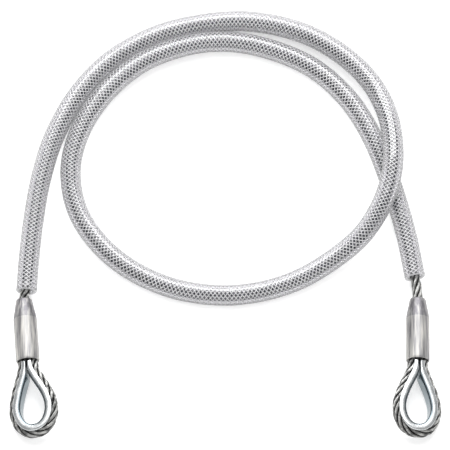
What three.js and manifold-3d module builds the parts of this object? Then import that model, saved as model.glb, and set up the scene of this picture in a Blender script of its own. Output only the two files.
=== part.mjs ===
// A wire rope anchor sling: one steel rope with an eye at each end, turned back round a thimble and held
// in a pressed ferrule, and covered between the ferrules by a braided hose. It lies loosely coiled.
// Millimetres, +Z up. The sling lies on Z = 0, with both eyes towards -Y.

import * as THREE from "three";
import { mergeVertices } from "three/addons/utils/BufferGeometryUtils.js";
import Module from "manifold-3d";

const wasm = await Module();
wasm.setup();

// Wire rope: six outer strands laid right-handed round a core strand.
const ROPE_R = 4;
const ROPE_SIDES = 8;
const STRANDS = 6;
const STRAND_R = 1.2;
const STRAND_LAY_R = 2.67;
const ROPE_LAY = 52;
const STRAND_SIDES = 6;
const STRAND_STEPS = 6;

// Hose: a clear liner, a braid and a clear jacket, one over the other. The layers' facets are aligned.
const HOSE_R = 8;
const BRAID_R = 7.15;
const LINER_R = 6.6;
const BORE_R = 5;
const LAYER_GAP = 0.1;
const HOSE_SIDES = 10;
const HOSE_STEPS = 64;

// How far inside a hose mouth the covered run of the rope ends and the neck begins.
const ROPE_INSET = 6;

// The room that two touching pieces keep.
const GAP = 0.3;

// Ferrule: a conical nose towards the hose and a round body towards the eye.
const FERRULE_LENGTH = 50.8;
const NOSE_R = 6.2;
const NOSE_CHAMFER = 0.8;
const TAPER_LENGTH = 16;
const FERRULE_R = 9.1;
const FERRULE_SEGMENTS = 20;
const LEG_X = 4.05;
const BACK_END_Y = -20;
const BORE_STEPS = 14;
const BORE_OVERRUN = 2;

// How close two corners of a mesh are when they count as one.
const SAME_CORNER = 1e-4;

// Eye: how finely its rope and its thimble are swept, and the size of the block that cuts a tip.
const THIMBLE_STEPS = 36;
const TIP_STEPS = 5;
const TIP_BLOCK = 40;
const EYE_STEPS = 60;

// The centre line of the hose as it lies: from the left mouth over the top, down the right side on top of
// the second turn, round the bottom, up the left side, over the top again leaning on the first turn, and
// down to the right mouth.
const HOSE_ROUTE = [
  [-153, -55, 8],
  [-151, -26, 8],
  [-147.7, 5, 8],
  [-142.5, 37, 8],
  [-132.5, 72, 8],
  [-113.5, 108, 8],
  [-87.5, 136.5, 8],
  [-52, 157, 8],
  [-18, 166, 8.05],
  [12, 168.4, 8.25],
  [40.3, 164.3, 9],
  [68.4, 153.6, 10.6],
  [94.5, 135, 13],
  [113.7, 112, 16.2],
  [124.9, 86.2, 20],
  [129, 61, 23.4],
  [127.9, 36, 24.9],
  [121, 13, 22.8],
  [106, -11, 17.5],
  [84, -29.5, 12.4],
  [56.5, -45.7, 9],
  [28.2, -55.2, 8.25],
  [-3, -58.5, 8.05],
  [-39.7, -52.9, 8],
  [-73.8, -36.8, 8],
  [-98, -15, 8],
  [-114.7, 13, 8],
  [-119.5, 46, 8],
  [-112.1, 77.1, 9.4],
  [-93.3, 107.4, 11.2],
  [-64.5, 132.8, 11.5],
  [-29.5, 147.1, 11],
  [1.5, 150.8, 9.6],
  [34, 145, 8.3],
  [67.5, 129.5, 8],
  [94.3, 104, 8],
  [112.5, 73.5, 8],
  [127, 35, 8],
  [138.5, -6, 8],
  [145.6, -43.4, 8],
];

// How each end fitting lies: its nose point, how far it leans in plan, rises and rolls, in degrees, and how
// far its eye is set aside.
const FITTINGS = [
  { side: "left", nose: [-155, -62.6, 9], lean: 3.9, rise: 0.3, roll: -14, aside: 2.2 },
  { side: "right", nose: [147.6, -62, 9], lean: -0.4, rise: 0.4, roll: 14, aside: -0.6 },
];

// About the middle of the bounding box in plan, which becomes the origin.
const PLAN_CENTRE = [-0.84, 0.13];

const STEEL = { color: 0x8d9196, roughness: 0.4, metalness: 0.9 };
const ZINC = { color: 0xd9dde0, roughness: 0.25, metalness: 0.9 };
const ALUMINIUM = { color: 0xb9bbbe, roughness: 0.4, metalness: 0.9 };
const CLEAR_PVC = { color: 0xe4e6e8, roughness: 0.3, metalness: 0, transparent: true, opacity: 0.5 };
const YARN = { color: 0xf2f3f4, roughness: 0.8, metalness: 0 };

const vec = (p) => new THREE.Vector3(...p);

function named(name, geometry, finish) {
  const mesh = new THREE.Mesh(geometry, new THREE.MeshStandardMaterial(finish));
  mesh.name = name;
  return mesh;
}

function ring(radius, sides) {
  return Array.from({ length: sides }, (_, i) => {
    const a = (2 * Math.PI * i) / sides;
    return new THREE.Vector2(radius * Math.cos(a), radius * Math.sin(a));
  });
}

// A closed solid of the given section swept along a curve.
function sweep(curve, section, steps) {
  return new THREE.ExtrudeGeometry(section, { steps, extrudePath: curve, bevelEnabled: false });
}

function rod(curve, radius, sides, steps) {
  return sweep(curve, new THREE.Shape(ring(radius, sides)), steps);
}

function pipe(curve, outer, inner, sides, steps) {
  const section = new THREE.Shape(ring(outer, sides));
  section.holes.push(new THREE.Path(ring(inner, sides)));
  return sweep(curve, section, steps);
}

// The stretch of a curve between two distances along it.
class Stretch extends THREE.Curve {
  constructor(curve, from, to) {
    super();
    const length = curve.getLength();
    Object.assign(this, { curve, from: from / length, to: to / length });
  }
  getPoint(t, target = new THREE.Vector3()) {
    return this.curve.getPointAt(THREE.MathUtils.lerp(this.from, this.to, t), target);
  }
}

// One strand of the rope, wound round a short centre line.
class Strand extends THREE.Curve {
  constructor(centre, phase) {
    super();
    Object.assign(this, { centre, phase, turns: centre.getLength() / ROPE_LAY });
  }
  getPoint(t, target = new THREE.Vector3()) {
    const tangent = this.centre.getTangentAt(t);
    const across = new THREE.Vector3(0, 0, 1).cross(tangent).normalize();
    const up = tangent.clone().cross(across);
    const a = this.phase + 2 * Math.PI * this.turns * t;
    return target
      .copy(this.centre.getPointAt(t))
      .addScaledVector(across, STRAND_LAY_R * Math.cos(a))
      .addScaledVector(up, STRAND_LAY_R * Math.sin(a));
  }
}

function solid(geometry) {
  const bare = new THREE.BufferGeometry();
  bare.setAttribute("position", geometry.getAttribute("position").clone());
  if (geometry.index) bare.setIndex(geometry.index.clone());
  const merged = mergeVertices(bare, SAME_CORNER);
  const vertProperties = new Float32Array(merged.getAttribute("position").array);
  const triVerts = new Uint32Array(merged.index.array);
  return new wasm.Manifold(new wasm.Mesh({ numProp: 3, vertProperties, triVerts }));
}

function fromSolid(manifold) {
  const mesh = manifold.getMesh();
  const geometry = new THREE.BufferGeometry();
  geometry.setAttribute("position", new THREE.BufferAttribute(mesh.vertProperties, 3));
  geometry.setIndex(new THREE.BufferAttribute(mesh.triVerts, 1));
  geometry.computeVertexNormals();
  return geometry;
}

function hose(route) {
  const layer = (name, outer, inner, finish) =>
    named(name, pipe(route, outer, inner, HOSE_SIDES, HOSE_STEPS), finish);
  return [
    layer("hose_outer_jacket", HOSE_R, BRAID_R + LAYER_GAP, CLEAR_PVC),
    layer("hose_braid_layer", BRAID_R, LINER_R + LAYER_GAP, YARN),
    layer("hose_inner_liner", LINER_R, BORE_R, CLEAR_PVC),
  ];
}

// The exposed rope between a hose mouth and a ferrule's nose: a core and six strands.
function neck(side, centre) {
  const piece = (name, curve) =>
    named(`${side}_neck_${name}`, rod(curve, STRAND_R, STRAND_SIDES, STRAND_STEPS), STEEL);
  const strands = Array.from({ length: STRANDS }, (_, i) =>
    piece(`strand_${i + 1}`, new Strand(centre, (2 * Math.PI * i) / STRANDS)),
  );
  return [piece("core", centre), ...strands];
}

// A fitting's own frame: the nose's centre is the origin, the eye lies towards -Y in the XY plane.

// The rope's centre line on one side, from the ferrule's eye end to beside the crown's middle.
const SIDE_ROUTE = [
  [LEG_X, -50],
  [4.1, -53.5],
  [4.4, -57],
  [5.5, -60.2],
  [7.1, -64],
  [9.3, -69],
  [11.5, -74],
  [13.3, -79],
  [14.7, -84],
  [15.4, -88.5],
  [15.4, -92.5],
  [14.7, -96.5],
  [13.3, -100.5],
  [11.2, -104.1],
  [8.2, -107.1],
  [4.3, -109.1],
];
const CROWN = [0, -109.7];

// An eye is set a little to one side of its ferrule's line. It goes aside between these two places.
const ASIDE_FROM = -53;
const ASIDE_TO = -85;

// The thimble's channel starts at this point of the route. Its tips run on beside the ropes to the ferrule.
const TIP_POINT = 4;
const TIP_ROUTE = [[LEG_X, -51.4], ...SIDE_ROUTE.slice(1, TIP_POINT + 1), [7.5, -64.9]];

// The standing rope's way through the ferrule, and the turned-back end's place in it.
const STANDING_ROUTE = [
  [0, -GAP],
  [0, -3],
  [-1.6, -8],
  [-3.4, -13],
  [-LEG_X, -19],
  [-LEG_X, -30],
  [-LEG_X, -40],
];
const TURNED_BACK_ROUTE = [
  [LEG_X, -40],
  [LEG_X, -30],
  [LEG_X, BACK_END_Y],
];

// Half of the thimble's section round the rope: across the eye's plane, then towards the eye's middle.
const THIMBLE_HALF = [
  [4, 5.8],
  [5.5, 4.9],
  [6.2, 3],
  [6.2, 0.5],
  [5.4, 0],
  [4.4, 1.7],
  [3.4, 3.2],
  [1.2, 4.35],
];

// The same section a little thinner all round, which the tips have.
const TIP_HALF = [
  [3.9, 5.7],
  [5.4, 4.85],
  [6.1, 2.95],
  [6.1, 0.55],
  [5.4, 0.12],
  [4.5, 1.75],
  [3.5, 3.25],
  [1.25, 4.45],
];

const flipped = (points) => points.map(([x, y]) => [-x, y]);

// A curve through points of the fitting's plane, moved by as much of aside as is due at each point.
function flatCurve(points, aside = 0) {
  const share = (y) => THREE.MathUtils.smoothstep(-y, -ASIDE_FROM, -ASIDE_TO);
  return new THREE.CatmullRomCurve3(points.map(([x, y]) => new THREE.Vector3(x + aside * share(y), y, 0)));
}

// The rope's centre line round the eye, from the given point of one leg to the same point of the other.
function loopRoute(first) {
  const leg = SIDE_ROUTE.slice(first);
  return [...flipped(leg), CROWN, ...[...leg].reverse()];
}

function eyeRope(side, aside) {
  const route = flatCurve([...STANDING_ROUTE, ...loopRoute(0), ...TURNED_BACK_ROUTE], aside);
  return named(`${side}_eye_rope`, rod(route, ROPE_R, ROPE_SIDES, EYE_STEPS), STEEL);
}

function channelAlong(curve, halfSection, steps) {
  const half = halfSection.map(([x, y]) => new THREE.Vector2(x, y));
  const other = half.map(({ x, y }) => new THREE.Vector2(-x, y)).reverse();
  return solid(sweep(curve, new THREE.Shape([...half, ...other]), steps));
}

// A tip of the thimble on the side that sign says, cut back at the middle, where the two would meet.
function tip(sign, aside) {
  const route = sign > 0 ? [...TIP_ROUTE].reverse() : flipped(TIP_ROUTE);
  const block = new THREE.BoxGeometry(TIP_BLOCK, TIP_BLOCK, TIP_BLOCK);
  block.translate(sign * (GAP - TIP_BLOCK / 2), TIP_ROUTE[0][1], 0);
  return channelAlong(flatCurve(route, aside), TIP_HALF, TIP_STEPS).subtract(solid(block));
}

function thimble(side, aside) {
  const channel = channelAlong(flatCurve(loopRoute(TIP_POINT), aside), THIMBLE_HALF, THIMBLE_STEPS);
  return named(`${side}_thimble`, fromSolid(channel.add(tip(1, aside)).add(tip(-1, aside))), ZINC);
}

function ferrule(side) {
  const profile = [
    [0, 0],
    [NOSE_R - NOSE_CHAMFER, 0],
    [NOSE_R, -NOSE_CHAMFER],
    [FERRULE_R, -TAPER_LENGTH],
    [FERRULE_R, NOSE_CHAMFER - FERRULE_LENGTH],
    [FERRULE_R - NOSE_CHAMFER, -FERRULE_LENGTH],
    [0, -FERRULE_LENGTH],
  ].map(([r, y]) => new THREE.Vector2(r, y));
  const body = solid(new THREE.LatheGeometry(profile.reverse(), FERRULE_SEGMENTS));
  const beyond = -FERRULE_LENGTH - BORE_OVERRUN;
  const through = [[0, BORE_OVERRUN], ...STANDING_ROUTE, [-LEG_X, beyond]];
  const back = [[LEG_X, beyond], ...TURNED_BACK_ROUTE.slice(0, -1), [LEG_X, BACK_END_Y + GAP]];
  const bore = (points) => solid(rod(flatCurve(points), ROPE_R + GAP, ROPE_SIDES, BORE_STEPS));
  const drilled = body.subtract(bore(through)).subtract(bore(back));
  return named(`${side}_ferrule`, fromSolid(drilled), ALUMINIUM);
}

function fitting({ side, nose, lean, rise, roll, aside }) {
  const group = new THREE.Group();
  group.add(ferrule(side), thimble(side, aside), eyeRope(side, aside));
  const [x, y, z] = [-rise, roll, lean].map(THREE.MathUtils.degToRad);
  group.rotation.set(x, y, z, "ZXY");
  group.position.set(...nose);
  return group;
}

const route = new THREE.CatmullRomCurve3(HOSE_ROUTE.map(vec));
const hoseLength = route.getLength();

// The neck's centre line: out of the hose along its own direction, and into the nose along the ferrule's.
function neckRoute(end, { nose, lean, rise }) {
  const inside = end === 0 ? ROPE_INSET - GAP : hoseLength - ROPE_INSET + GAP;
  const start = route.getPointAt(inside / hoseLength);
  const out = route.getTangentAt(inside / hoseLength).multiplyScalar(end === 0 ? -1 : 1);
  const [x, z] = [-rise, lean].map(THREE.MathUtils.degToRad);
  const into = new THREE.Vector3(0, -1, 0).applyEuler(new THREE.Euler(x, 0, z, "ZXY"));
  const stop = vec(nose).addScaledVector(into, -GAP);
  const third = start.distanceTo(stop) / 3;
  return new THREE.CubicBezierCurve3(
    start,
    start.clone().addScaledVector(out, third),
    stop.clone().addScaledVector(into, -third),
    stop,
  );
}

const sling = new THREE.Group();
sling.add(...hose(route));
const covered = new Stretch(route, ROPE_INSET, hoseLength - ROPE_INSET);
sling.add(named("rope_main_run", rod(covered, ROPE_R, ROPE_SIDES, HOSE_STEPS), STEEL));
FITTINGS.forEach((place, end) => {
  sling.add(...neck(place.side, neckRoute(end, place)));
  sling.add(fitting(place));
});
sling.position.set(-PLAN_CENTRE[0], -PLAN_CENTRE[1], 0);

export default sling;
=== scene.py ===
"""The looks of a wire rope anchor sling: a braided clear hose over a steel rope, with a thimble eye in a
pressed ferrule at each end. Metres, +Z up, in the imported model's frame."""

import math

import bpy
import numpy as np
from mathutils import Euler, Matrix, Vector


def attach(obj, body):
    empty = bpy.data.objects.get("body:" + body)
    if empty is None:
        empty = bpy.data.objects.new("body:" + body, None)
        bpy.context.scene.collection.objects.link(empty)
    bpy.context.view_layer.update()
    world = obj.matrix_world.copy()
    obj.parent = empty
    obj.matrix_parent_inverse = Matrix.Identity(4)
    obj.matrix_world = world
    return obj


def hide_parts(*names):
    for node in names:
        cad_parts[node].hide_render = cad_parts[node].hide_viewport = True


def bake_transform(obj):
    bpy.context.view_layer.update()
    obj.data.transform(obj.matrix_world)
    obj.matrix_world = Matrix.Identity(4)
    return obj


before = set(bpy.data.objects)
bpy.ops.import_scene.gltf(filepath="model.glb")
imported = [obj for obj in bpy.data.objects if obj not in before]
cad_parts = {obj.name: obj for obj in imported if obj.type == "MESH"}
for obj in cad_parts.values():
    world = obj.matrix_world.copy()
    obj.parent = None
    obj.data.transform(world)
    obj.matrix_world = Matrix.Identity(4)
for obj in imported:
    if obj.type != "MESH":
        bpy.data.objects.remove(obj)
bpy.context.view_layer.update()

# ---------------------------------------------------------------- the sling's own dimensions, in metres

# The rope: six strands round a core. A lay is the length of one whole turn, and a strand's own wires turn
# the other way. ROPE_TURN is the first strand's angle, in radians, where a length of bare rope begins.
ROPE_LAY = 0.052
ROPE_TURN = 0.4
STRANDS = 6
STRAND_R = 0.00132
STRAND_LAY_R = 0.00266
WIRES = 12
WIRE_R = 0.00026
WIRE_LAY_R = 0.00105
WIRE_LAY = -0.019

# How much longer a strand is than its rope, and how far a core is thinned to clear what is wound on it.
STRAND_STRETCH = math.hypot(1.0, math.tau * STRAND_LAY_R / ROPE_LAY)
CORE_FIT = 0.96

# How far inside each mouth the covered run ends, how far it sags in the bore, and over what length.
ROPE_INSET = 0.006
ROPE_SAG = 0.0008
SAG_LENGTH = 0.04

# The hose: a clear wall with two sets of flat yarns in it, each set at its own radius. A yarn's lead is the
# length of one whole turn.
HOSE_R = 0.008
BORE_R = 0.005
YARNS = 11
YARN_LEAD = 0.0346
YARN_HALF_WIDTH = 0.00034
YARN_HALF_THICKNESS = 0.00016
YARN_RADII = (0.00675, 0.00702)

# How far each leg of an eye is from the fitting's middle line, and how long a ferrule's taper is.
LEG_X = 0.00405
TAPER_LENGTH = 0.0161

# How far a neck runs into its ferrule.
NOSE_OVERLAP = 0.003

# How finely things are drawn: the sides of round sections, the points on a curve's stretch, and the steps
# along lines.
HOSE_SIDES = 48
FERRULE_SIDES = 72
ROUND_SIDES = 8
WIRE_SIDES = 6
CURVE_POINTS = 24
NECK_CURVE_POINTS = 200
YARN_POINTS_A_TURN = 14
ROUTE_STEP = 0.001
HOSE_STEP = 0.002
COVERED_ROPE_STEP = 0.0013
COVERED_CORE_EVERY = 4
NECK_STEP = 0.0008
EYE_ROPE_STEP = 0.0011
EYE_LINE_STEP = 0.0005
THIMBLE_STEP = 0.001

# How open to the light a wire's surface is, on its strand and on the rope: side on, and what is added where
# it faces straight out.
OPEN_OF_STRAND = (0.35, 0.65)
OPEN_OF_ROPE = (0.25, 0.9)

# The centre line of the hose, from the left mouth to the right one. Its second turn leans on the first.
HOSE_ROUTE = (
    (-0.15216, -0.05513, 0.008),
    (-0.15016, -0.02613, 0.008),
    (-0.14686, 0.00487, 0.008),
    (-0.14166, 0.03687, 0.008),
    (-0.13166, 0.07187, 0.008),
    (-0.11266, 0.10787, 0.008),
    (-0.08666, 0.13637, 0.008),
    (-0.05116, 0.15687, 0.008),
    (-0.01716, 0.16587, 0.00805),
    (0.01284, 0.16827, 0.00825),
    (0.04114, 0.16417, 0.009),
    (0.06924, 0.15347, 0.0106),
    (0.09534, 0.13487, 0.013),
    (0.11454, 0.11187, 0.0162),
    (0.12574, 0.08607, 0.02),
    (0.12984, 0.06087, 0.0234),
    (0.12874, 0.03587, 0.0249),
    (0.12184, 0.01287, 0.0228),
    (0.10684, -0.01113, 0.0175),
    (0.08484, -0.02963, 0.0124),
    (0.05734, -0.04583, 0.009),
    (0.02904, -0.05533, 0.00825),
    (-0.00216, -0.05863, 0.00805),
    (-0.03886, -0.05303, 0.008),
    (-0.07296, -0.03693, 0.008),
    (-0.09716, -0.01513, 0.008),
    (-0.11386, 0.01287, 0.008),
    (-0.11866, 0.04587, 0.008),
    (-0.11126, 0.07697, 0.0094),
    (-0.09246, 0.10727, 0.0112),
    (-0.06366, 0.13267, 0.0115),
    (-0.02866, 0.14697, 0.011),
    (0.00234, 0.15067, 0.0096),
    (0.03484, 0.14487, 0.0083),
    (0.06834, 0.12937, 0.008),
    (0.09514, 0.10387, 0.008),
    (0.11334, 0.07337, 0.008),
    (0.12784, 0.03487, 0.008),
    (0.13934, -0.00613, 0.008),
    (0.14644, -0.04353, 0.008),
)

# Each end fitting: where its nose is, how far it leans in plan, rises and rolls, in degrees, and how far its
# eye is set aside.
FITTINGS = {
    "left": {"nose": (-0.15416, -0.06273, 0.009), "lean": 3.9, "rise": 0.3, "roll": -14, "aside": 0.0022},
    "right": {"nose": (0.14844, -0.06213, 0.009), "lean": -0.4, "rise": 0.4, "roll": 14, "aside": -0.0006},
}

# The rope's way round an eye, in the fitting's plane: one side, from inside the ferrule to beside the crown.
SIDE_ROUTE = (
    (LEG_X, -0.0470),
    (LEG_X, -0.0500),
    (0.0041, -0.0535),
    (0.0044, -0.0570),
    (0.0055, -0.0602),
    (0.0071, -0.0640),
    (0.0093, -0.0690),
    (0.0115, -0.0740),
    (0.0133, -0.0790),
    (0.0147, -0.0840),
    (0.0154, -0.0885),
    (0.0154, -0.0925),
    (0.0147, -0.0965),
    (0.0133, -0.1005),
    (0.0112, -0.1041),
    (0.0082, -0.1071),
    (0.0043, -0.1091),
)
CROWN = (0.0, -0.1097)

# Between which places along the fitting an eye is eased aside.
ASIDE_FROM = -0.053
ASIDE_TO = -0.085

# Where the thimble's tips end beside the ropes, and the room that each keeps from the eye's middle.
TIP_END = -0.0513
TIP_GAP = 0.0009

# Half of the thimble's section round the rope: across the eye's plane, then towards the eye's middle.
THIMBLE_HALF = (
    (0.0, 0.0058),
    (0.0022, 0.0058),
    (0.0046, 0.0058),
    (0.0056, 0.0056),
    (0.0061, 0.0051),
    (0.0063, 0.0043),
    (0.0063, 0.0026),
    (0.0063, 0.0006),
    (0.0059, 0.0001),
    (0.0054, 0.0003),
    (0.0050, 0.0010),
    (0.0044, 0.0022),
    (0.0034, 0.0033),
    (0.0022, 0.0041),
    (0.0, 0.00445),
)

# The ferrule's outline, from its nose to the shallow recess at its mouth: radius, then place along it.
FERRULE_PROFILE = (
    (0.0047, 0.0),
    (0.0054, 0.0),
    (0.0058, -0.0002),
    (0.0061, -0.0006),
    (0.0063, -0.0012),
    (0.0070, -0.0050),
    (0.0078, -0.0090),
    (0.0086, -0.0130),
    (0.00902, -0.0156),
    (0.0091, -TAPER_LENGTH),
    (0.0091, -0.0166),
    (0.0091, -0.0200),
    (0.0091, -0.0280),
    (0.0091, -0.0360),
    (0.0091, -0.0440),
    (0.0091, -0.0490),
    (0.0090, -0.0502),
    (0.0088, -0.0506),
    (0.0084, -0.0508),
    (0.0080, -0.0506),
    (0.0077, -0.0500),
    (0.0075, -0.0484),
)

# The flats that the dies left: depth as a part of the radius, waves round it, and their twist along it.
FERRULE_FLATS = ((0.004, 3, 40), (0.003, 5, -90))

CAMERA_ELEVATION = math.radians(69)
CAMERA_DISTANCE = 10.0
CAMERA_AIM = Vector((0.00038, -0.00071, 0.008))
CAMERA_LENS = 1039.0
CAMERA_SENSOR = 36.0
CAMERA_CLIP = (0.1, 60.0)

# The room: half of the floor's width, the strength of the even light, and each lamp's place, its width and
# height, and its power in watts.
FLOOR_HALF = 12.0
WORLD_STRENGTH = 0.5
LAMPS = {
    "softbox_back": {"place": (0.0, 1.8, 1.95), "size": (2.8, 1.3), "power": 92.0},
    "softbox_top": {"place": (0.0, 0.7, 2.6), "size": (2.6, 1.3), "power": 26.0},
    "fill_front": {"place": (0.0, -2.0, 1.6), "size": (3.0, 1.5), "power": 24.0},
}

# ---------------------------------------------------------------- curves


def catmull(points):
    """Points along a centripetal Catmull-Rom curve through the given ones."""
    p = np.array(points, float)
    p = np.vstack([2 * p[0] - p[1], p, 2 * p[-1] - p[-2]])
    t = np.linspace(0, 1, CURVE_POINTS, endpoint=False)[:, None]
    out = []
    for a, b, c, d in zip(p[:-3], p[1:-2], p[2:-1], p[3:]):
        ab = np.linalg.norm(b - a) ** 0.5
        bc = np.linalg.norm(c - b) ** 0.5
        cd = np.linalg.norm(d - c) ** 0.5
        m0 = ((b - a) / ab - (c - a) / (ab + bc) + (c - b) / bc) * bc
        m1 = ((c - b) / bc - (d - b) / (bc + cd) + (d - c) / cd) * bc
        out.append(b + m0 * t + (3 * (c - b) - 2 * m0 - m1) * t**2 + (2 * (b - c) + m0 + m1) * t**3)
    out.append(p[-2:-1])
    return np.vstack(out)


def distances(points):
    """How far along the line each point is."""
    return np.concatenate([[0], np.cumsum(np.linalg.norm(np.diff(points, axis=0), axis=1))])


def unit(vectors):
    """Each vector made one long."""
    return vectors / np.linalg.norm(vectors, axis=-1, keepdims=True)


def resample(points, step, start=0.0, end=None):
    """The line's points about step apart, between two distances along it."""
    along = distances(points)
    end = along[-1] if end is None else end
    at = np.linspace(start, end, max(2, round((end - start) / step) + 1))
    return np.stack([np.interp(at, along, points[:, k]) for k in range(3)], axis=1)


def frames(points):
    """Two unit vectors across the line at each point: the level one, and the one square to it."""
    tangent = unit(np.gradient(points, axis=0))
    across = unit(np.cross((0.0, 0.0, 1.0), tangent))
    return across, np.cross(tangent, across)


def wound(points, across, rise, radius, angle):
    """A line wound round another: at each point, radius away in the direction of angle."""
    radius = np.broadcast_to(radius, angle.shape)[:, None]
    return points + radius * (across * np.cos(angle)[:, None] + rise * np.sin(angle)[:, None])


def phases(count):
    """The angles of count things spaced evenly round a circle."""
    return [math.tau * i / count for i in range(count)]


# ---------------------------------------------------------------- meshes


class Builder:
    """Collects swept surfaces and makes one mesh of them."""

    def __init__(self):
        self.points = []
        self.faces = []
        self.uvs = []
        self.count = 0

    def sweep(self, rings, caps=True, shade=None):
        """Adds the surface through rings, an array of (rings, sides, 3). v goes along, in metres. u goes
        round, or is shade where that is given for each point."""
        n, m = rings.shape[:2]
        base = self.count
        self.points.append(rings.reshape(-1, 3))
        self.count += n * m
        i, j = np.meshgrid(np.arange(n - 1), np.arange(m), indexing="ij")
        right = (j + 1) % m
        quads = np.stack([i * m + j, i * m + right, (i + 1) * m + right, (i + 1) * m + j], axis=-1) + base
        self.faces.append(quads.reshape(-1, 4))
        along = distances(rings.mean(axis=1))
        if shade is None:
            us = [j / m, (j + 1) / m, (j + 1) / m, j / m]
        else:
            us = [shade[i, j], shade[i, right], shade[i + 1, right], shade[i + 1, j]]
        vs = [along[i], along[i], along[i + 1], along[i + 1]]
        self.uvs.append(np.stack([k for pair in zip(us, vs) for k in pair], axis=-1).reshape(-1, 2))
        if caps:
            for ring, flip in ((0, True), (n - 1, False)):
                self.cap(base + ring * m, m, rings[ring].mean(axis=0), flip)

    def cap(self, first, m, centre, flip):
        """Closes a ring of m points with triangles to its centre, each with -1 for a fourth corner."""
        self.points.append(centre[None])
        middle = self.count
        self.count += 1
        j = np.arange(m)
        a, b = first + j, first + (j + 1) % m
        if flip:
            a, b = b, a
        self.faces.append(np.stack([a, b, np.full(m, middle), np.full(m, -1)], axis=-1))
        self.uvs.append(np.zeros((3 * m, 2)))

    def object(self, name, material):
        """One smooth mesh object of everything swept so far."""
        faces = np.vstack(self.faces)
        used = faces >= 0
        totals = used.sum(axis=1)
        mesh = bpy.data.meshes.new(name)
        points = np.vstack(self.points)
        mesh.vertices.add(len(points))
        mesh.vertices.foreach_set("co", points.astype(np.float32).ravel())
        mesh.loops.add(int(totals.sum()))
        mesh.loops.foreach_set("vertex_index", faces[used].astype(np.int32))
        mesh.polygons.add(len(faces))
        starts = np.concatenate([[0], np.cumsum(totals)[:-1]])
        mesh.polygons.foreach_set("loop_start", starts.astype(np.int32))
        mesh.polygons.foreach_set("use_smooth", np.ones(len(faces), bool))
        mesh.uv_layers.new(name="UVMap")
        mesh.uv_layers["UVMap"].data.foreach_set("uv", np.vstack(self.uvs).astype(np.float32).ravel())
        mesh.update(calc_edges=True)
        mesh.validate()
        return placed(name, mesh, material)


def placed(name, mesh, material):
    """An object of that mesh and material, in the scene."""
    piece = bpy.data.objects.new(name, mesh)
    bpy.context.scene.collection.objects.link(piece)
    mesh.materials.append(material)
    return piece


def ring_points(points, across, rise, section):
    """Rings of a section along a line. The section is (sides, 2), or (rings, sides, 2) where it changes."""
    section = np.broadcast_to(section, (len(points), *section.shape[-2:]))
    return points[:, None] + across[:, None] * section[..., :1] + rise[:, None] * section[..., 1:]


def circle(radius, sides):
    """A round section's points."""
    a = np.linspace(0, math.tau, sides, endpoint=False)
    return np.stack([radius * np.cos(a), radius * np.sin(a)], axis=1)


# ---------------------------------------------------------------- materials


class Nodes:
    """Short ways to write a material's nodes."""

    def __init__(self, name):
        self.material = bpy.data.materials.new(name)
        self.material.use_nodes = True
        self.tree = self.material.node_tree
        self.tree.nodes.clear()
        self.output = self.tree.nodes.new("ShaderNodeOutputMaterial")

    def add(self, kind, values=None, **settings):
        """A node of that kind. Each of its values is a number or colour, or an output to link there."""
        node = self.tree.nodes.new("ShaderNode" + kind)
        for key, value in settings.items():
            setattr(node, key, value)
        for key, value in (values or {}).items():
            if isinstance(value, bpy.types.NodeSocket):
                self.tree.links.new(value, node.inputs[key])
            else:
                node.inputs[key].default_value = value
        return node

    def coordinates(self, kind="Object"):
        return self.add("TexCoord").outputs[kind]

    def uv(self, axis):
        """One axis of the UV map: X is u and Y is v."""
        return self.add("SeparateXYZ", {"Vector": self.coordinates("UV")}).outputs[axis]

    def noise(self, where, scale, detail=3.0):
        return self.add("TexNoise", {"Vector": where, "Scale": scale, "Detail": detail}).outputs["Fac"]

    def spread(self, value, low, high, span=(0.3, 0.7)):
        """value moved from span to the range low to high."""
        given = {"Value": value, "From Min": span[0], "From Max": span[1], "To Min": low, "To Max": high}
        return self.add("MapRange", given).outputs["Result"]

    def ramp(self, value, stops):
        """The colour that stops, pairs of a place and a colour, give for value."""
        node = self.add("ValToRGB", {"Fac": value})
        ramp = node.color_ramp
        while len(ramp.elements) < len(stops):
            ramp.elements.new(0.5)
        for element, (place, colour) in zip(ramp.elements, stops):
            element.position = place
            element.color = (*colour, 1.0)
        return node.outputs["Color"]

    def bump(self, height, strength, distance):
        given = {"Height": height, "Strength": strength, "Distance": distance}
        return self.add("Bump", given).outputs["Normal"]

    def math(self, operation, a, b=0.0):
        return self.add("Math", {0: a, 1: b}, operation=operation).outputs[0]

    def product(self, a, b):
        """Two colours multiplied. Several of the node's sockets share a name, so they go by number."""
        factor, first, second, result = 0, 6, 7, 2
        node = self.add("Mix", {factor: 1.0, first: a, second: b}, data_type="RGBA", blend_type="MULTIPLY")
        return node.outputs[result]

    def finish(self, shader):
        self.tree.links.new(shader.outputs[0], self.output.inputs["Surface"])
        return self.material


def stripes(n, count, twist):
    """1 on the crests and 0 in the grooves between the wires of a strand, from its UV map."""
    around = n.math("MULTIPLY", n.uv("X"), float(count))
    along = n.math("MULTIPLY", n.uv("Y"), count / twist)
    turn = n.math("MULTIPLY", n.math("ADD", around, along), math.tau)
    return n.math("ADD", n.math("MULTIPLY", n.math("SINE", turn), 0.5), 0.5)


def wire_material():
    """Bare wires with painted shade. The UV map's u says how open to the light a point is, from 0 deep
    between the wires to 1, and the base colour is painted darker where it is low.
    """
    n = Nodes("drawn steel wire")
    where = n.coordinates()
    tone = n.noise(where, 260.0)
    fine = n.noise(where, 2600.0, 2.0)
    colour = n.ramp(tone, ((0.34, (0.13, 0.13, 0.13)), (0.66, (0.72, 0.72, 0.70))))
    # Painted shade: the colour is painted near black where a wire is hidden from the light, and kept where it
    # is open.
    painted_shade = n.ramp(n.uv("X"), ((0.30, (0.010, 0.010, 0.011)), (0.92, (1.0, 1.0, 1.0))))
    given = {
        "Base Color": n.product(colour, painted_shade),
        "Metallic": 0.9,
        "Roughness": n.spread(fine, 0.28, 0.45),
        "Normal": n.bump(fine, 0.15, 0.00005),
    }
    return n.finish(n.add("BsdfPrincipled", given))


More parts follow.
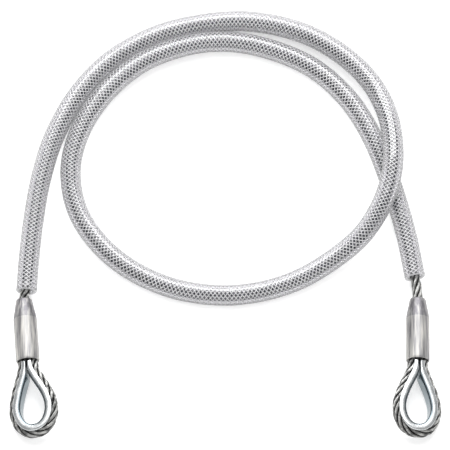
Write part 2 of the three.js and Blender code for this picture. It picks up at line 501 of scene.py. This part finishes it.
def shaded_strand_material():
    """The covered rope's strands, with their wires drawn by the UV map. Painted shade: the steel is painted
    far darker than the bare wires, for the shade it lies in inside the hose, and darkest in the grooves
    between its wires.
    """
    n = Nodes("stranded steel in painted shade")
    tone = n.noise(n.coordinates(), 220.0)
    wires = stripes(n, WIRES, WIRE_LAY)
    # Painted shade: the strands are painted near black, darkest in the grooves between their wires, for the
    # shade they lie in inside the hose.
    colour = n.ramp(wires, ((0.0, (0.004, 0.004, 0.007)), (0.6, (0.045, 0.045, 0.06))))
    given = {
        "Base Color": colour,
        "Metallic": 0.9,
        "Roughness": n.spread(tone, 0.28, 0.42),
        "Normal": n.bump(wires, 0.9, 0.00012),
    }
    return n.finish(n.add("BsdfPrincipled", given))


def aluminium_material():
    """Pressed aluminium: the body smeared by the dies, and the taper, up to TAPER_LENGTH along, painted
    darker as painted shade, for the darker reflection that its slope catches.
    """
    n = Nodes("pressed aluminium")
    where = n.coordinates()
    stretched = n.add("Mapping", {"Vector": where, "Scale": (1.0, 0.07, 1.0)}).outputs["Vector"]
    smear = n.noise(stretched, 560.0, 6.0)
    fine = n.noise(where, 3200.0, 2.0)
    # Painted shade: the tone is lowered on the taper, up to TAPER_LENGTH along.
    painted_taper_shade = n.spread(n.uv("Y"), 0.13, 0.0, (TAPER_LENGTH - 0.0004, TAPER_LENGTH + 0.0004))
    tone = n.math("SUBTRACT", smear, painted_taper_shade)
    stops = (
        (0.32, (0.165, 0.16, 0.172)),
        (0.45, (0.31, 0.306, 0.306)),
        (0.55, (0.41, 0.403, 0.39)),
        (0.68, (0.57, 0.555, 0.525)),
    )
    given = {
        "Base Color": n.ramp(tone, stops),
        "Metallic": 0.9,
        "Roughness": n.spread(smear, 0.46, 0.62),
        "Normal": n.bump(n.math("ADD", smear, n.math("MULTIPLY", fine, 0.2)), 0.2, 0.0003),
    }
    return n.finish(n.add("BsdfPrincipled", given))


def zinc_material():
    """Bright plate, with painted shade: the face towards the eye's middle is painted darker, and darkest
    along that face's bent edges, for the dark side of the room that it reflects. The UV map's u goes round
    the section from the middle of that face."""
    n = Nodes("bright zinc plate")
    where = n.coordinates()
    cloud = n.noise(where, 180.0)
    fine = n.noise(where, 2400.0, 2.0)
    colour = n.ramp(cloud, ((0.3, (0.54, 0.56, 0.57)), (0.7, (0.66, 0.675, 0.68))))
    from_channel = n.math("ABSOLUTE", n.math("SUBTRACT", n.math("MULTIPLY", n.uv("X"), 2.0), 1.0))
    # Painted shade: 1 keeps the plate's colour on the flange, and lower values paint the face towards the
    # eye's middle darker, darkest along its bent edges.
    stops = (
        (0.60, (1.0, 1.0, 1.0)),
        (0.66, (0.22, 0.25, 0.27)),
        (0.79, (0.12, 0.15, 0.165)),
        (0.88, (0.44, 0.50, 0.53)),
    )
    given = {
        "Base Color": n.product(colour, n.ramp(from_channel, stops)),
        "Metallic": 1.0,
        "Roughness": n.spread(cloud, 0.2, 0.28),
        "Normal": n.bump(fine, 0.12, 0.00004),
    }
    return n.finish(n.add("BsdfPrincipled", given))


def yarn_material():
    """Matt white yarn with its threads running along it."""
    n = Nodes("white braid yarn")
    threads = n.math("SINE", n.math("MULTIPLY", n.uv("X"), 20 * math.tau))
    cloud = n.noise(n.coordinates(), 900.0, 2.0)
    colour = n.ramp(cloud, ((0.3, (0.50, 0.50, 0.50)), (0.7, (0.66, 0.66, 0.65))))
    given = {
        "Base Color": colour,
        "Roughness": 0.6,
        "Sheen Weight": 0.3,
        "Normal": n.bump(threads, 0.3, 0.00003),
    }
    return n.finish(n.add("BsdfPrincipled", given))


def pvc_material():
    """Clear soft plastic, deeper in tone and hazier where the wall is seen edge on. Lamps' rays pass it
    straight, so that the yarns and the rope in it are lit."""
    n = Nodes("clear soft plastic")
    cloud = n.noise(n.coordinates(), 60.0, 2.0)
    facing = n.add("LayerWeight", {"Blend": 0.5}).outputs["Facing"]
    hazy = n.spread(facing, 0.0, 0.26, (0.45, 0.85))
    stops = (
        (0.15, (0.83, 0.82, 0.855)),
        (0.35, (0.57, 0.565, 0.59)),
        (0.80, (0.34, 0.34, 0.355)),
    )
    given = {
        "Base Color": n.ramp(facing, stops),
        "Transmission Weight": 1.0,
        "Specular IOR Level": 0.35,
        "IOR": 1.53,
        "Roughness": n.math("ADD", hazy, n.spread(cloud, 0.03, 0.08)),
    }
    glass = n.add("BsdfPrincipled", given)
    passing = n.add("BsdfTransparent", {"Color": (0.93, 0.935, 0.94, 1.0)})
    factor = n.add("LightPath").outputs["Is Shadow Ray"]
    mixed = n.add("MixShader", {0: factor, 1: glass.outputs[0], 2: passing.outputs[0]})
    return n.finish(mixed)


def cut_face_material():
    """The hose's cut ends, frosted by the knife."""
    n = Nodes("cut plastic")
    cloud = n.noise(n.coordinates(), 1400.0)
    colour = n.ramp(cloud, ((0.3, (0.50, 0.50, 0.51)), (0.7, (0.68, 0.68, 0.69))))
    given = {"Base Color": colour, "Roughness": 0.5, "Normal": n.bump(cloud, 0.4, 0.0001)}
    return n.finish(n.add("BsdfPrincipled", given))


def floor_material():
    """A white light table, faintly lit from below so that shadows stay soft."""
    n = Nodes("pale floor")
    cloud = n.noise(n.coordinates(), 2.0, 2.0)
    colour = n.ramp(cloud, ((0.3, (0.74, 0.74, 0.74)), (0.7, (0.75, 0.75, 0.75))))
    given = {
        "Base Color": colour,
        "Roughness": 0.9,
        "Specular IOR Level": 0.1,
        "Emission Color": (1.0, 1.0, 1.0, 1.0),
        "Emission Strength": 0.45,
    }
    return n.finish(n.add("BsdfPrincipled", given))


# ---------------------------------------------------------------- camera, floor and light


def make_camera():
    """The camera, far off and at the view's angle above the ground."""
    data = bpy.data.cameras.new("camera")
    data.lens = CAMERA_LENS
    data.sensor_width = CAMERA_SENSOR
    data.clip_start, data.clip_end = CAMERA_CLIP
    camera = bpy.data.objects.new("camera", data)
    bpy.context.scene.collection.objects.link(camera)
    back = Vector((0.0, -math.cos(CAMERA_ELEVATION), math.sin(CAMERA_ELEVATION)))
    camera.location = CAMERA_AIM + back * CAMERA_DISTANCE
    camera.rotation_euler = (-back).to_track_quat("-Z", "Y").to_euler()
    bpy.context.scene.camera = camera


def area_light(name, place, size, power):
    """A soft lamp at place that faces the sling's middle."""
    data = bpy.data.lights.new(name, "AREA")
    data.shape = "RECTANGLE"
    data.size, data.size_y = size
    data.energy = power
    lamp = bpy.data.objects.new(name, data)
    bpy.context.scene.collection.objects.link(lamp)
    lamp.location = place
    lamp.rotation_euler = (-Vector(place)).to_track_quat("-Z", "Y").to_euler()


def make_floor():
    """The pale ground, which is no part of the sling."""
    half = FLOOR_HALF
    corners = [(-half, -half, 0), (half, -half, 0), (half, half, 0), (-half, half, 0)]
    mesh = bpy.data.meshes.new("floor")
    mesh.from_pydata(corners, [], [(0, 1, 2, 3)])
    placed("floor", mesh, floor_material())


def make_studio():
    """The floor, an even white light all round, and the lamps."""
    make_floor()
    world = bpy.data.worlds.new("studio")
    world.use_nodes = True
    background = world.node_tree.nodes["Background"].inputs
    background["Color"].default_value = (1.0, 1.0, 1.0, 1.0)
    background["Strength"].default_value = WORLD_STRENGTH
    bpy.context.scene.world = world
    for name, lamp in LAMPS.items():
        area_light(name, **lamp)
    bpy.context.scene.view_settings.view_transform = "Standard"


# ---------------------------------------------------------------- hose and the rope in it


def hose_line():
    """The hose's centre line, in even steps from mouth to mouth."""
    return resample(catmull(HOSE_ROUTE), ROUTE_STEP)


def make_hose(line, clear, cut):
    """The wall: one clear tube from mouth to mouth, its bore included, with frosted cut faces."""
    points = resample(line, HOSE_STEP)
    across, rise = frames(points)
    wall = Builder()
    wall.sweep(ring_points(points, across, rise, circle(HOSE_R, HOSE_SIDES)), caps=False)
    bore = wall.count
    wall.sweep(ring_points(points, across, rise, circle(BORE_R, HOSE_SIDES)[::-1]), caps=False)
    around = np.arange(HOSE_SIDES)
    for first in (0, bore - HOSE_SIDES):
        rim = first + around
        bore_rim = bore + first + around[::-1]
        quads = np.stack([rim, np.roll(rim, -1), np.roll(bore_rim, -1), bore_rim], axis=-1)
        wall.faces.append(quads if first else quads[:, ::-1])
        wall.uvs.append(np.zeros((4 * HOSE_SIDES, 2)))
    piece = wall.object("hose_wall", clear)
    piece.data.materials.append(cut)
    for face in piece.data.polygons[-2 * HOSE_SIDES :]:
        face.material_index = 1
    return piece


def make_braid(line, yarn):
    """Two sets of flat yarns wound opposite ways inside the wall."""
    points = resample(line, YARN_LEAD / YARN_POINTS_A_TURN)
    across, rise = frames(points)
    turn = math.tau * distances(points) / YARN_LEAD
    w = YARN_HALF_WIDTH
    t = YARN_HALF_THICKNESS
    section = np.array([(w, 0), (0, t), (-w, 0), (0, -t)])
    braid = Builder()
    for hand, radius in zip((1, -1), YARN_RADII):
        for phase in phases(YARNS):
            angle = hand * turn + phase
            centre = wound(points, across, rise, radius, angle)
            out = wound(np.zeros_like(points), across, rise, 1.0, angle)
            side = unit(np.cross(out, np.gradient(centre, axis=0)))
            braid.sweep(ring_points(centre, side, out, section))
    return braid.object("hose_braid", yarn)


def make_main_rope(line, steel):
    """The covered run: six strands round a core, lying on the bottom of the hose's bore."""
    total = distances(line)[-1]
    points = resample(line, COVERED_ROPE_STEP, ROPE_INSET, total - ROPE_INSET)
    along = distances(points)
    points[:, 2] -= ROPE_SAG * np.clip(np.minimum(along, along[-1] - along) / SAG_LENGTH, 0, 1)
    across, rise = frames(points)
    turn = math.tau * (ROPE_INSET + distances(points)) / ROPE_LAY
    section = circle(STRAND_R, ROUND_SIDES)
    every = slice(None, None, COVERED_CORE_EVERY)
    rope = Builder()
    rope.sweep(ring_points(points[every], across[every], rise[every], section))
    for phase in phases(STRANDS):
        centre = wound(points, across, rise, STRAND_LAY_R, turn + phase)
        rope.sweep(ring_points(centre, *frames(centre), section))
    return points, rope.object("rope_covered_run", steel)


# ---------------------------------------------------------------- bare rope


def openness(directions, outward, side_on, added):
    """How open to the light each point is, from 0 to 1, by how far its direction is outward."""
    facing = np.sum(directions * outward[:, None], axis=2)
    return np.clip(side_on + added * facing, 0, 1)


def sweep_core(builder, points, across, rise, radius):
    """A core, dark because what is wound on it hides it from the light."""
    rings = ring_points(points, across, rise, circle(radius * CORE_FIT, ROUND_SIDES))
    builder.sweep(rings, caps=False, shade=np.zeros(rings.shape[:2]))


def sweep_strand(builder, rope_points, centre, begun):
    """One strand along centre: a core and twelve wires, each shaded by how open to the light it is."""
    across, rise = frames(centre)
    sweep_core(builder, centre, across, rise, WIRE_LAY_R)
    spin = math.tau * (begun * STRAND_STRETCH + distances(centre)) / WIRE_LAY
    outward = unit(centre - rope_points)
    for phase in phases(WIRES):
        wire = wound(centre, across, rise, WIRE_LAY_R, spin + phase)
        rings = ring_points(wire, *frames(wire), circle(WIRE_R, WIRE_SIDES))
        of_strand = openness(unit(rings - wire[:, None]), unit(wire - centre), *OPEN_OF_STRAND)
        of_rope = openness(unit(rings - centre[:, None]), outward, *OPEN_OF_ROPE)
        builder.sweep(rings, caps=False, shade=of_strand * of_rope)


def stranded(builder, points, begun=0.0):
    """Six strands round a core, along a line that begins begun metres into its rope. Both ends are left open,
    since each is buried in a fitting or meets the next length of rope."""
    across, rise = frames(points)
    sweep_core(builder, points, across, rise, STRAND_R)
    turn = ROPE_TURN + math.tau * (begun + distances(points)) / ROPE_LAY
    for phase in phases(STRANDS):
        sweep_strand(builder, points, wound(points, across, rise, STRAND_LAY_R, turn + phase), begun)


# ---------------------------------------------------------------- necks


def fitting_matrix(place):
    """From a fitting's own frame, with its nose at the origin and its eye towards -Y, to the sling's."""
    turn = Euler([math.radians(a) for a in (-place["rise"], place["roll"], place["lean"])], "YXZ")
    return Matrix.Translation(place["nose"]) @ turn.to_matrix().to_4x4()


def bezier(a, b, c, d, count):
    """count points along the curve from a to d that b and c pull."""
    t = np.linspace(0, 1, count)[:, None]
    return (1 - t) ** 3 * a + 3 * (1 - t) ** 2 * t * b + 3 * (1 - t) * t**2 * c + t**3 * d


def neck_line(line, side):
    """The exposed rope's centre line, from just inside the hose's mouth to just inside the ferrule's nose."""
    matrix = fitting_matrix(FITTINGS[side])
    if side == "right":
        line = line[::-1]
    inset = round(ROPE_INSET / ROUTE_STEP)
    start = line[inset]
    out = unit(line[inset - 1] - start)
    into = np.array(matrix.to_3x3() @ Vector((0, -1, 0)))
    nose = np.array(matrix.translation)
    third = np.linalg.norm(nose - start) / 3
    end = nose + into * NOSE_OVERLAP
    return bezier(start, start + out * third, nose - into * third, end, NECK_CURVE_POINTS)


def make_neck(side, line, steel):
    """The exposed rope in two lengths, which meet halfway along the neck."""
    centre = neck_line(line, side)
    half = distances(centre)[-1] / 2
    neck = f"{side}_neck"
    nodes = [f"{neck}_core"] + [f"{neck}_strand_{i + 1}" for i in range(STRANDS)]
    lengths = (("inner", 0.0, half, ("coil", neck)), ("outer", half, None, (neck, f"{side}_eye")))
    for length, start, end, bodies in lengths:
        points = resample(centre, NECK_STEP, start, end)
        rope = Builder()
        stranded(rope, points, start)
        piece = rope.object(f"{neck}_{length}", steel)
        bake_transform(piece)
        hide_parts(*nodes)


# ---------------------------------------------------------------- eyes


def loop_line(aside):
    """The rope's centre line round the eye, in the fitting's plane, its far part set aside."""
    flat = [(-x, y) for x, y in SIDE_ROUTE] + [CROWN] + list(SIDE_ROUTE)[::-1]
    points = []
    for x, y in flat:
        t = min(1.0, max(0.0, (y - ASIDE_FROM) / (ASIDE_TO - ASIDE_FROM)))
        points.append((x + aside * t * t * (3 - 2 * t), y, 0.0))
    return catmull(points)


def make_eye_rope(side, aside, steel):
    """The rope round the eye, from inside the ferrule and back."""
    rope = Builder()
    stranded(rope, resample(loop_line(aside), EYE_ROPE_STEP))
    return rope.object(f"{side}_eye_strands", steel)


def make_thimble(side, aside, zinc):
    """The channel round the inside of the rope, its two tips side by side."""
    whole = resample(loop_line(aside), EYE_LINE_STEP)
    points = resample(whole[whole[:, 1] <= TIP_END], THIMBLE_STEP)
    across, rise = frames(points)
    half = np.array(THIMBLE_HALF)
    other_half = (half[1:-1] * (-1, 1))[::-1]
    section = np.vstack([half, other_half])[:, ::-1]
    rings = ring_points(points, across, rise, section)
    third = len(rings) // 3
    rings[:third, :, 0] = np.minimum(rings[:third, :, 0], -TIP_GAP)
    rings[-third:, :, 0] = np.maximum(rings[-third:, :, 0], TIP_GAP)
    thimble = Builder()
    thimble.sweep(rings)
    return thimble.object(f"{side}_thimble_shell", zinc)


def make_ferrule(side, aluminium):
    """The pressed sleeve, a little out of round."""
    a = np.linspace(0, math.tau, FERRULE_SIDES, endpoint=False)
    rings = []
    for r, y in FERRULE_PROFILE:
        out_of_round = 1.0
        for depth, waves, twist in FERRULE_FLATS:
            out_of_round = out_of_round - depth * (1 + np.sin(waves * a + twist * y))
        place = np.full(FERRULE_SIDES, y)
        rings.append(np.stack([r * out_of_round * np.cos(a), place, r * out_of_round * np.sin(a)], axis=1))
    body = Builder()
    body.sweep(np.array(rings))
    return body.object(f"{side}_ferrule_shell", aluminium)


def make_fitting(side, place, steel, zinc, aluminium):
    """An eye's rope, its thimble and its ferrule, put where the fitting is."""
    aside = place["aside"]
    pieces = (
        (make_eye_rope(side, aside, steel), f"{side}_eye_rope", "rope_steel"),
        (make_thimble(side, aside, zinc), f"{side}_thimble", "zinc_plate"),
        (make_ferrule(side, aluminium), f"{side}_ferrule", "pressed_aluminium"),
    )
    for piece, node, slot in pieces:
        piece.data.transform(fitting_matrix(place))
        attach(piece, f"{side}_eye")
        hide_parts(node)


# ---------------------------------------------------------------- everything

make_camera()
make_studio()

steel = wire_material()
shaded_covered_steel = shaded_strand_material()
aluminium = aluminium_material()
zinc = zinc_material()
yarn = yarn_material()
clear = pvc_material()

line = hose_line()

hose = make_hose(line, clear, cut_face_material())
braid = make_braid(line, yarn)
rope_points, main_rope = make_main_rope(line, shaded_covered_steel)
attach(hose, "coil")
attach(braid, "coil")
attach(main_rope, "coil")
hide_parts("hose_outer_jacket", "hose_inner_liner")
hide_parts("hose_braid_layer")
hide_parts("rope_main_run")

for side, place in FITTINGS.items():
    make_fitting(side, place, steel, zinc, aluminium)
    make_neck(side, line, steel)
